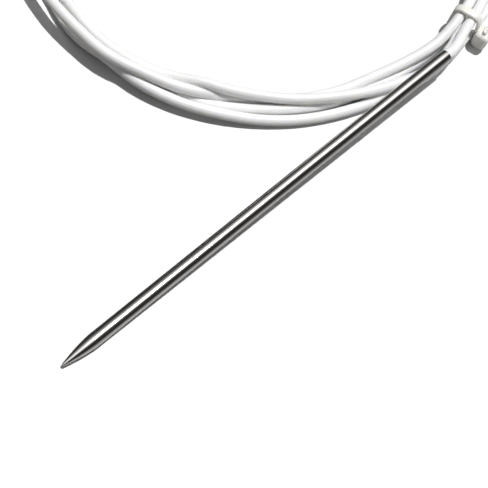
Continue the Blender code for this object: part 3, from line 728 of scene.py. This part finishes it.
class SweepTree:
    """Geometry Nodes tree that sweeps a round section along a line of points.

    It stores each point's place for the finish: the way along the line, and the way round it on a small
    circle.
    """

    PLACE_RADIUS = 10.0 * MM
    MERGE_WITHIN = 1e-7
    SHARP_ABOVE = 50.0

    def __init__(self) -> None:
        """Build the tree with its named inputs."""
        sheet, given, result = new_group(
            "sweep_round_section",
            "GeometryNodeTree",
            (("Line", "Geometry"), ("Radius", "Float"), ("Sides", "Int"), ("Finish", "Material")),
            (("Tube", "Geometry"),),
        )
        line = sheet.add("GeometryNodeMeshToCurve")
        along = sheet.add("GeometryNodeSplineParameter")
        keep_along = self._keep(sheet, "along", "FLOAT")
        ring = sheet.add("GeometryNodeCurvePrimitiveCircle")
        around = sheet.add("GeometryNodeSplineParameter")
        keep_around = self._keep(sheet, "around", "FLOAT")
        sweep = sheet.add("GeometryNodeCurveToMesh", {"Fill Caps": True})
        read_along = sheet.add("GeometryNodeInputNamedAttribute", {"Name": "along"}, data_type="FLOAT")
        read_around = sheet.add("GeometryNodeInputNamedAttribute", {"Name": "around"}, data_type="FLOAT")
        turn = sheet.maths("MULTIPLY", read_around.outputs["Attribute"], 2 * pi)
        across = sheet.maths("MULTIPLY", sheet.maths("COSINE", turn), self.PLACE_RADIUS)
        upward = sheet.maths("MULTIPLY", sheet.maths("SINE", turn), self.PLACE_RADIUS)
        place = sheet.add("ShaderNodeCombineXYZ")
        keep_place = self._keep(sheet, "lead_place", "FLOAT_VECTOR")
        smooth = sheet.add("GeometryNodeSetShadeSmooth")
        sheet.link(given, "Line", line, "Mesh")
        sheet.link(line, "Curve", keep_along, "Geometry")
        sheet.link(along, "Length", keep_along, "Value")
        sheet.link(given, "Radius", ring)
        sheet.link(given, "Sides", ring, "Resolution")
        sheet.link(ring, "Curve", keep_around, "Geometry")
        sheet.link(around, "Factor", keep_around, "Value")
        sheet.link(keep_along, "Geometry", sweep, "Curve")
        sheet.link(keep_around, "Geometry", sweep, "Profile Curve")
        sheet.link(sweep, "Mesh", keep_place, "Geometry")
        sheet.link(read_along, "Attribute", place, "X")
        sheet.join(across, place.inputs["Y"])
        sheet.join(upward, place.inputs["Z"])
        sheet.link(place, "Vector", keep_place, "Value")
        sheet.link(keep_place, "Geometry", smooth)
        end_tree(sheet, smooth, given, result)
        self.tree = sheet.tree

    @staticmethod
    def _keep(sheet: NodeSheet, name: str, kind: str) -> Node:
        """Add a node that stores a named attribute on the points."""
        return sheet.add("GeometryNodeStoreNamedAttribute", {"Name": name}, data_type=kind, domain="POINT")

    def sweep(
        self, name: str, points: Sequence[Vector], radius: float, sides: int, material: Material
    ) -> Object:
        """Sweep a tube along points.

        Args:
            name: the piece's name.
            points: its middle line.
            radius: its radius.
            sides: how many sides it has.
            material: its finish.

        Returns:
            The tube as a plain mesh object with closed ends.
        """
        line = bpy.data.meshes.new(name)
        line.from_pydata([tuple(p) for p in points], [(i, i + 1) for i in range(len(points) - 1)], [])
        made = run_tree(name, line, self.tree, {"Radius": radius, "Sides": sides, "Finish": material})
        shape = bmesh.new()
        shape.from_mesh(made.data)
        bmesh.ops.remove_doubles(shape, verts=shape.verts, dist=self.MERGE_WITHIN)
        bmesh.ops.recalc_face_normals(shape, faces=shape.faces)
        shape.to_mesh(made.data)
        shape.free()
        made.data.set_sharp_from_angle(angle=radians(self.SHARP_ABOVE))
        return made


def rib_tree() -> NodeTree:
    """Build the tree that sets a row of equal ribs.

    Returns:
        The tree. Its inputs are the first rib's place, the step to the next, the count, a rib's sizes
        and its turn.
    """
    sheet, given, result = new_group(
        "cross_ribs",
        "GeometryNodeTree",
        (
            ("Start", "Vector"),
            ("Step", "Vector"),
            ("Count", "Int"),
            ("Size", "Vector"),
            ("Turn", "Vector"),
            ("Finish", "Material"),
        ),
        (("Ribs", "Geometry"),),
    )
    row = sheet.add("GeometryNodeMeshLine", mode="OFFSET")
    rib = sheet.add("GeometryNodeMeshCube")
    turn = sheet.add("FunctionNodeEulerToRotation")
    copies = sheet.add("GeometryNodeInstanceOnPoints")
    sheet.link(given, "Start", row, "Start Location")
    sheet.link(given, "Step", row, "Offset")
    sheet.link(given, "Count", row)
    sheet.link(given, "Size", rib)
    sheet.link(given, "Turn", turn, "Euler")
    sheet.link(row, "Mesh", copies, "Points")
    sheet.link(rib, "Mesh", copies, "Instance")
    sheet.link(turn, "Rotation", copies)
    end_tree(sheet, copies, given, result)
    return sheet.tree


# Pieces of the probe


def turned_mesh(
    name: str, profile: Sequence[tuple[float, float]], steps: int, matrix: Matrix, sharp_above: float
) -> Mesh:
    """Turn a profile that starts and ends on the axis about Z into a closed mesh.

    Args:
        name: the mesh's name.
        profile: (radius, place along Z) points.
        steps: how many sides the turned shape has.
        matrix: the frame that the mesh is placed by.
        sharp_above: the angle in degrees above which an edge stays sharp.

    Returns:
        The mesh, with its place in its vertices.
    """
    shape = bmesh.new()
    rings: list[list[bmesh.types.BMVert]] = []
    for radius, along in profile:
        if radius <= 0.0:
            rings.append([shape.verts.new(matrix @ Vector((0.0, 0.0, along)))])
            continue
        ring = []
        for i in range(steps):
            turn = 2 * pi * i / steps
            ring.append(shape.verts.new(matrix @ Vector((radius * cos(turn), radius * sin(turn), along))))
        rings.append(ring)
    for ring, following in zip(rings, rings[1:]):
        near, far = len(ring), len(following)
        for i in range(steps):
            after = (i + 1) % steps
            corners = (ring[i % near], ring[after % near], following[after % far], following[i % far])
            shape.faces.new(list(dict.fromkeys(corners)))
    return mesh_from_shape(name, shape, sharp_above)


@dataclass
class Sheath:
    """The steel sheath with its swaged point and open rear end."""

    axis: SheathAxis = field(default_factory=SheathAxis)
    wall: float = 0.25 * MM
    tip_radius: float = 0.5 * MM
    tip_lean: float = radians(11.3)
    tip_start: float = 0.05 * MM
    point_curve: tuple[tuple[float, float], ...] = (
        (2.0 * MM, 11.1 * MM),
        (1.988 * MM, 10.4 * MM),
        (1.95 * MM, 9.8 * MM),
        (1.88 * MM, 9.0 * MM),
        (1.75 * MM, 7.7 * MM),
        (1.57 * MM, 6.2 * MM),
        (1.34 * MM, 4.8 * MM),
        (1.06 * MM, 3.3 * MM),
        (0.82 * MM, 2.1 * MM),
        (0.65 * MM, 1.25 * MM),
    )
    rim_radius: float = 0.1 * MM
    point_floor: float = 1.6 * MM
    rim_steps: int = 6
    tip_steps: int = 6
    tube_rings: tuple[float, ...] = (0.98, 0.75, 0.5, 0.25)
    steps: int = 128
    sharp_above: float = 40.0

    def profile(self) -> list[tuple[float, float]]:
        """List the turned outline.

        Returns:
            (radius, place along the sheath) points from the inside's floor round the rim to the tip.
        """
        outer = self.axis.radius
        bore = outer - self.wall
        shoulder = self.axis.point_length
        tip_middle = self.tip_start + self.tip_radius
        points = [
            (0.0, shoulder - self.point_floor),
            (bore, shoulder + bore - self.point_floor),
            (bore, self.axis.length - self.rim_radius),
        ]
        reach = self.wall / 2
        for step in range(self.rim_steps + 1):
            turn = pi * step / self.rim_steps
            across = outer - reach - reach * cos(turn)
            points.append((across, self.axis.length - self.rim_radius * (1 - sin(turn))))
        for share in self.tube_rings:
            points.append((outer, shoulder + (self.axis.length - shoulder) * share))
        points.extend(self.point_curve)
        for step in range(self.tip_steps):
            turn = self.tip_lean + (pi / 2 - self.tip_lean) * step / self.tip_steps
            points.append((self.tip_radius * cos(turn), tip_middle - self.tip_radius * sin(turn)))
        points.append((0.0, self.tip_start))
        return points

    def build(self, palette: Palette) -> Object:
        """Build the sheath.

        Args:
            palette: the materials.

        Returns:
            The piece, which replaces its solid.
        """
        mesh = turned_mesh("sheath_tube", self.profile(), self.steps, self.axis.matrix(), self.sharp_above)
        piece = dress(new_object("sheath_tube", mesh), palette["polished_steel"])
        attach(piece, BODY)
        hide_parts("sheath")
        return piece


@dataclass
class Lead:
    """The lead: one length from inside the sheath to the end sleeve."""

    route: LeadRoute = field(default_factory=LeadRoute)
    sides: int = 28

    def build(self, palette: Palette, sweeps: SweepTree) -> tuple[Object, list[Vector], float]:
        """Build the lead.

        Args:
            palette: the materials.
            sweeps: the tree that sweeps tubes.

        Returns:
            The piece, its middle line and its length.
        """
        points = self.route.points()
        length = sum((b - a).length for a, b in zip(points, points[1:]))
        white = palette["white_insulation"]
        piece = sweeps.sweep("lead", points, self.route.diameter / 2, self.sides, white)
        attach(piece, BODY)
        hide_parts("lead_run", "lead_coil", "lead_tail")
        return piece, points, length


@dataclass
class CableTie:
    """The cable tie: a band round the bundle, its head on the outer side and the cut end."""

    route: LeadRoute = field(default_factory=LeadRoute)
    width: float = 2.6 * MM
    thickness: float = 0.95 * MM
    off_strands: float = 0.15 * MM
    edge: float = 0.4 * MM
    head: tuple[float, float, float] = (4.8 * MM, 6.4 * MM, 5.6 * MM)
    head_height: float = 3.7 * MM
    head_edge: float = 1.5 * MM
    slot: tuple[float, float] = (1.15 * MM, 2.8 * MM)
    slot_reach: float = 1.5
    stub: float = 1.2 * MM
    slot_edge: float = 0.15 * MM
    stub_edge: float = 0.12 * MM
    sides: int = 96
    corner_steps: int = 4
    edge_steps: int = 5
    sharp_above: float = 45.0
    teeth: int = 2
    tooth_pitch: float = 0.7 * MM
    tooth: tuple[float, float] = (0.12 * MM, 0.3 * MM)
    tooth_width: float = 0.7
    tooth_above_head: float = 0.35 * MM

    def matrix(self) -> Matrix:
        """Find the frame of the tie's section.

        Returns:
            The frame: X out from the coil's middle, Y up and Z along the strands.
        """
        angle = radians(self.route.tie_angle)
        outward = Vector((cos(angle), sin(angle), 0.0))
        upward = Vector((0.0, 0.0, 1.0))
        along = outward.cross(upward)
        matrix = Matrix((outward, upward, along)).transposed().to_4x4()
        from_rear, middle_y = self.route.middle_from_rear
        matrix.translation = Vector((self.route.axis.rear_x + from_rear, middle_y, 0.0))
        return matrix

    def places(self) -> list[tuple[float, float]]:
        """Return the strands' places in the tie's section."""
        angles = [self.route.tie_angle + 360 * turn for turn in range(self.route.turns + 1)]
        return [self.route.strand(angle) for angle in angles]

    def band_mesh(self) -> Mesh:
        """Build the band with rounded edges.

        Returns:
            The band's mesh, closed round the bundle.
        """
        places = self.places()
        half = self.width / 2
        low = self.off_strands
        high = self.off_strands + self.thickness
        section: list[tuple[float, float]] = []
        corners = ((high, half, 1), (high, -half, 0), (low, -half, -1), (low, half, 2))
        for corner_m, corner_z, quarter in corners:
            middle_m = corner_m - self.edge * (1 if corner_m == high else -1)
            middle_z = corner_z - self.edge * (1 if corner_z > 0 else -1)
            for step in range(self.corner_steps):
                turn = quarter * pi / 2 - step * pi / (2 * (self.corner_steps - 1))
                section.append((middle_m + self.edge * cos(turn), middle_z + self.edge * sin(turn)))
        matrix = self.matrix()
        shape = bmesh.new()
        rings = []
        reach = self.route.diameter / 2
        for side in range(self.sides):
            turn = 2 * pi * side / self.sides - pi / 2
            across, upward = cos(turn), sin(turn)
            radius, height = max(places, key=lambda place: place[0] * across + place[1] * upward)
            ring = []
            for margin, along in section:
                out = reach + margin
                corner = Vector((radius + out * across, height + out * upward, along))
                ring.append(shape.verts.new(matrix @ corner))
            rings.append(ring)
        for ring, following in zip(rings, rings[1:] + rings[:1]):
            for i in range(len(section)):
                after = (i + 1) % len(section)
                shape.faces.new((ring[i], ring[after], following[after], following[i]))
        return mesh_from_shape("tie_band", shape, self.sharp_above)

    def block_mesh(self, name: str, size: Sequence[float], middle: Sequence[float], edge: float) -> Mesh:
        """Build a block with rounded edges in the tie's frame.

        Args:
            name: the mesh's name.
            size: its sizes in the tie's frame.
            middle: its middle in the tie's frame.
            edge: the radius of its edges.

        Returns:
            The mesh.
        """
        shape = bmesh.new()
        bmesh.ops.create_cube(shape, size=1.0)
        bmesh.ops.scale(shape, vec=Vector(size), verts=shape.verts)
        bmesh.ops.translate(shape, vec=Vector(middle), verts=shape.verts)
        edges = list(shape.edges)
        bmesh.ops.bevel(
            shape, geom=edges, offset=edge, segments=self.edge_steps, profile=0.5, affect="EDGES"
        )
        bmesh.ops.transform(shape, matrix=self.matrix(), verts=shape.verts)
        return mesh_from_shape(name, shape, self.sharp_above)

    def build(self, palette: Palette) -> list[Object]:
        """Build the tie.

        Args:
            palette: the materials.

        Returns:
            The pieces: the band, the head and the cut end with its teeth.
        """
        nylon = palette["natural_nylon"]
        outer_face = max(radius for radius, height in self.places()) + self.route.diameter / 2
        deep, high, _ = self.head
        head_x = outer_face + self.off_strands + deep / 2
        band = dress(new_object("tie_band", self.band_mesh()), nylon)
        head_place = (head_x, self.head_height, 0.0)
        head_mesh = self.block_mesh("tie_head", self.head, head_place, self.head_edge)
        head = dress(new_object("tie_head", head_mesh), nylon)
        slot_size = (self.slot[0], high * self.slot_reach, self.slot[1])
        slot_mesh = self.block_mesh("tie_slot", slot_size, head_place, self.slot_edge)
        slot = new_object("tie_slot", slot_mesh)
        cut = head.modifiers.new("slot", "BOOLEAN")
        cut.operation = "DIFFERENCE"
        cut.solver = "EXACT"
        cut.object = slot
        head = plain_mesh(head)
        bpy.data.objects.remove(slot)
        stub_size = (self.thickness, high / 2 + self.stub, self.width)
        stub_place = (head_x, self.head_height + stub_size[1] / 2, 0.0)
        stub_mesh = self.block_mesh("tie_end", stub_size, stub_place, self.stub_edge)
        stub = dress(new_object("tie_end", stub_mesh), nylon)
        matrix = self.matrix()
        tooth_height = self.head_height + high / 2 + self.tooth_above_head
        first_tooth = (head_x + self.thickness / 2, tooth_height, 0.0)
        teeth = run_tree(
            "tie_teeth",
            bpy.data.meshes.new("tie_teeth"),
            rib_tree(),
            {
                "Start": matrix @ Vector(first_tooth),
                "Step": Vector((0.0, 0.0, self.tooth_pitch)),
                "Count": self.teeth,
                "Size": Vector((*self.tooth, self.width * self.tooth_width)),
                "Turn": Vector(matrix.to_euler()),
                "Finish": nylon,
            },
        )
        for piece in (band, head, stub, teeth):
            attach(piece, BODY)
        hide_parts("cable_tie")
        return [band, head, stub, teeth]


@dataclass
class DressedSolids:
    """Solids of the part that keep their shape and only get a finish."""

    finishes: tuple[tuple[str, str], ...]

    def build(self, nodes: dict[str, Object], palette: Palette) -> list[Object]:
        """Give the solids their finishes.

        Args:
            nodes: the CAD nodes by name.
            palette: the materials.

        Returns:
            The dressed nodes.
        """
        return [
            dress(nodes[name], palette[finish])
            for start, finish in self.finishes
            for name in sorted(nodes)
            if name.startswith(start)
        ]


@dataclass
class FarEnd(DressedSolids):
    """The lead's far end: the end sleeve, two single cores and their fork terminals."""

    finishes: tuple[tuple[str, str], ...] = (
        ("end_sleeve", "heat_shrink"),
        ("tail_", "white_insulation"),
        ("terminal_positive", "tinned_copper"),
        ("terminal_negative", "tinned_copper"),
        ("terminal_sleeve_positive", "red_sleeve"),
        ("terminal_sleeve_negative", "blue_sleeve"),
    )


@dataclass
class InnerPieces(DressedSolids):
    """What lies inside the sheath: the junction, the wires, the insulators, the joints and the plug."""

    finishes: tuple[tuple[str, str], ...] = (
        ("junction_bead", "weld_metal"),
        ("wire_", "thermocouple_alloy"),
        ("insulator_", "fired_ceramic"),
        ("splice_", "tinned_copper"),
        ("core_", "tinned_copper"),
        ("seal_plug", "potting_resin"),
    )


# Stage


def fill_ramp(ramp: Node, stops: Sequence[tuple[float, float]], strongest: float) -> None:
    """Set a grey ramp's stops from values along a scale.

    Args:
        ramp: the Color Ramp node.
        stops: (place on the scale, value) pairs, from the ramp's start to its end.
        strongest: the value that is full white.
    """
    elements = ramp.color_ramp.elements
    while len(elements) < len(stops):
        elements.new(0.5)
    start, end = stops[0][0], stops[-1][0]
    for element, (place, value) in zip(elements, stops):
        element.position = (place - start) / (end - start)
        level = value / strongest
        element.color = (level, level, level, 1.0)


@dataclass(frozen=True)
class PhotoCamera:
    """The camera at the photograph's viewing angle."""

    place: tuple[float, float, float] = (-0.226965, -0.090422, 0.426821)
    right: tuple[float, float, float] = (0.700731, -0.679742, 0.216626)
    up: tuple[float, float, float] = (0.559068, 0.711821, 0.425152)
    back: tuple[float, float, float] = (-0.443192, -0.176809, 0.878817)
    lens: float = 129.877
    sensor: float = 36.0
    seen_range: tuple[float, float] = (0.01, 50.0)

    def build(self) -> None:
        """Make the camera and give it to the scene."""
        data = bpy.data.cameras.new("photo_camera")
        data.lens = self.lens
        data.sensor_width = self.sensor
        data.clip_start, data.clip_end = self.seen_range
        camera = new_object("photo_camera", data)
        matrix = Matrix((self.right, self.up, self.back)).transposed().to_4x4()
        matrix.translation = Vector(self.place)
        camera.matrix_world = matrix
        bpy.context.scene.camera = camera


@dataclass(frozen=True)
class Stage:
    """The white table, the high lamp, the fill and what the metal sees.

    The surround is the light that gloss sees, by the angle in degrees from straight up, positive on the
    -Y side. The windows are soft light for all but gloss. In gloss the table's brightness depends on its
    place along Y: a painted reflection, darker on the +Y side and lighter just on the -Y side. In bounced
    light the table's colour is lowered: painted shade on the undersides near it.
    """

    table_reach: float = 3.0
    table_colour: float = 1.0
    # Painted shade: the table's colour in bounced light, lower than the white the camera sees, darkens the
    # undersides of the lead and the tie.
    table_bounce_painted_shade: float = 0.36
    lamp_towards: tuple[float, float, float] = (0.29, 0.01, 1.0)
    lamp_strength: float = 2.98
    lamp_angle: float = 2.5
    side_energy: float = 0.022
    side_size: float = 80.0 * MM
    side_place: tuple[float, float, float] = (125.0 * MM, -105.0 * MM, 24.0 * MM)
    side_aim: tuple[float, float, float] = (92.0 * MM, 5.0 * MM, 4.0 * MM)
    fill: float = 0.035
    windows: tuple[tuple[float, tuple[float, float, float]], ...] = (
        (0.24, (0.15, 0.60, 0.80)),
        (0.20, (0.20, -0.97, 0.12)),
    )
    window_focus: float = 3.0
    surround: tuple[tuple[float, float], ...] = (
        (-180.0, 0.03),
        (-96.0, 0.03),
        (-76.0, 0.04),
        (-60.0, 0.09),
        (-46.0, 0.26),
        (-33.0, 0.50),
        (-20.0, 1.05),
        (-3.0, 1.60),
        (13.0, 1.25),
        (27.0, 0.14),
        (42.0, 0.03),
        (74.0, 0.03),
        (90.0, 0.14),
        (180.0, 0.40),
    )
    # Painted reflection: the table's brightness as the metal sees it, by place along Y, darker on the +Y
    # side and lighter just on the -Y side.
    painted_table_reflection: tuple[tuple[float, float], ...] = (
        (-60.0 * MM, 0.16),
        (-20.0 * MM, 0.30),
        (-8.0 * MM, 0.60),
        (0.0, 0.60),
        (3.0 * MM, 0.12),
        (12.0 * MM, 0.05),
    )

    def floor(self) -> None:
        """Make the table."""
        shape = bmesh.new()
        bmesh.ops.create_grid(shape, x_segments=1, y_segments=1, size=self.table_reach)
        floor = new_object("white_table", mesh_from_shape("white_table", shape, 0.0))
        material = bpy.data.materials.new("white_table")
        material.use_nodes = True
        sheet = NodeSheet(material.node_tree)
        sheet.tree.nodes.clear()
        output = sheet.add("ShaderNodeOutputMaterial")
        path = sheet.add("ShaderNodeLightPath")
        shade = sheet.add("ShaderNodeMix", {3: self.table_colour}, data_type="FLOAT")
        colour = sheet.add("ShaderNodeCombineColor")
        diffuse = sheet.add("ShaderNodeBsdfDiffuse")
        place = sheet.add("ShaderNodeTexCoord")
        parts = sheet.add("ShaderNodeSeparateXYZ")
        # Painted reflection: in gloss the table is darker or lighter by its place along Y.
        ends = {"From Min": self.painted_table_reflection[0][0], "From Max": self.painted_table_reflection[-1][0]}
        across = sheet.add("ShaderNodeMapRange", ends)
        in_gloss = sheet.add("ShaderNodeValToRGB")
        fill_ramp(in_gloss, self.painted_table_reflection, 1.0)
        # Painted shade: in bounced light the table is darker than the camera sees it.
        bounced = sheet.add("ShaderNodeMix", {2: self.table_bounce_painted_shade}, data_type="FLOAT")
        sheet.link(place, "Object", parts, "Vector")
        sheet.link(parts, "Y", across, "Value")
        sheet.link(across, "Result", in_gloss, "Fac")
        sheet.link(path, "Is Glossy Ray", bounced, 0)
        sheet.link(in_gloss, "Color", bounced, 3)
        sheet.link(bounced, 0, shade, 2)
        sheet.link(path, "Is Camera Ray", shade, 0)
        for name in ("Red", "Green", "Blue"):
            sheet.link(shade, 0, colour, name)
        sheet.link(colour, "Color", diffuse)
        sheet.link(diffuse, "BSDF", output, "Surface")
        dress(floor, material)

    @staticmethod
    def lamp(name: str, kind: str, energy: float, back: Sequence[float]) -> Object:
        """Make a lamp at the origin.

        Args:
            name: its name.
            kind: its kind.
            energy: its strength.
            back: the direction from what it lights towards the lamp.

        Returns:
            The lamp object.
        """
        data = bpy.data.lights.new(name, kind)
        data.energy = energy
        lamp = new_object(name, data)
        lamp.rotation_mode = "QUATERNION"
        lamp.rotation_quaternion = Vector(back).to_track_quat("Z", "Y")
        return lamp

    def lamps(self) -> None:
        """Make the small high lamp, and a weak soft lamp beside the tie that gloss doesn't show."""
        high = self.lamp("high_lamp", "SUN", self.lamp_strength, self.lamp_towards)
        high.data.angle = radians(self.lamp_angle)
        away = Vector(self.side_place) - Vector(self.side_aim)
        side = self.lamp("side_lamp", "AREA", self.side_energy, away)
        side.data.size = self.side_size
        side.location = self.side_place
        side.visible_glossy = False

    def surroundings(self) -> None:
        """Make the world: white to the camera, a plain fill, and bands of light and dark for gloss."""
        world = bpy.data.worlds.new("studio")
        world.use_nodes = True
        sheet = NodeSheet(world.node_tree)
        sheet.tree.nodes.clear()
        output = sheet.add("ShaderNodeOutputWorld")
        path = sheet.add("ShaderNodeLightPath")
        place = sheet.add("ShaderNodeTexCoord")
        parts = sheet.add("ShaderNodeSeparateXYZ")
        sheet.link(place, "Generated", parts, "Vector")
        towards = sheet.maths("MULTIPLY", parts.outputs["Y"], -1.0)
        angle = sheet.maths("ARCTAN2", towards, parts.outputs["Z"])
        share = sheet.maths("ADD", sheet.maths("DIVIDE", angle, 2 * pi), 0.5)
        ramp = sheet.add("ShaderNodeValToRGB")
        strongest = max(value for _, value in self.surround)
        fill_ramp(ramp, self.surround, strongest)
        sheet.join(share, ramp.inputs["Fac"])
        gloss = sheet.add("ShaderNodeBackground", {"Strength": strongest})
        sheet.link(ramp, "Color", gloss)
        fill = sheet.add("ShaderNodeBackground", {"Color": WHITE})
        level = self.fill
        for strength, towards_window in self.windows:
            direction = Vector(towards_window).normalized()
            facing = sheet.add("ShaderNodeVectorMath", {1: direction}, operation="DOT_PRODUCT")
            sheet.link(place, "Generated", facing, 0)
            in_front = sheet.maths("MAXIMUM", facing.outputs["Value"], 0.0)
            lobe = sheet.maths("POWER", in_front, self.window_focus)
            level = sheet.maths("ADD", sheet.maths("MULTIPLY", lobe, strength), level)
        sheet.join(level, fill.inputs["Strength"])
        white = sheet.add("ShaderNodeBackground", {"Color": WHITE})
        seen_in_gloss = sheet.add("ShaderNodeMixShader")
        seen_by_camera = sheet.add("ShaderNodeMixShader")
        sheet.link(path, "Is Glossy Ray", seen_in_gloss, 0)
        sheet.link(fill, 0, seen_in_gloss, 1)
        sheet.link(gloss, 0, seen_in_gloss, 2)
        sheet.link(path, "Is Camera Ray", seen_by_camera, 0)
        sheet.link(seen_in_gloss, 0, seen_by_camera, 1)
        sheet.link(white, 0, seen_by_camera, 2)
        sheet.link(seen_by_camera, 0, output, "Surface")
        bpy.context.scene.world = world

    def build(self) -> None:
        """Set up the whole stage."""
        self.floor()
        self.lamps()
        self.surroundings()
        bpy.context.scene.view_settings.view_transform = "Standard"


# The probe


def main() -> None:
    """Build the probe's look in order and report each piece."""
    logging.basicConfig(level=logging.INFO, format="%(name)s: %(message)s")
    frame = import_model()
    nodes = frame["nodes"]
    PhotoCamera().build()
    palette = Palette()
    sweeps = SweepTree()
    far_end = FarEnd().build(nodes, palette)
    tie = CableTie().build(palette)
    lead, points, length = Lead().build(palette, sweeps)
    LeadRoute().diameter
    LOG.info("%s: %.3f m", lead.name, length)
    for piece in [*tie, *far_end]:
        LOG.info("%s: on the lead", piece.name)
    sheath = Sheath().build(palette)
    LOG.info("%s: %d faces", sheath.name, len(sheath.data.polygons))
    for piece in InnerPieces().build(nodes, palette):
        LOG.info("%s: inside the sheath", piece.name)
    Stage().build()


if __name__ == "__main__":
    main()
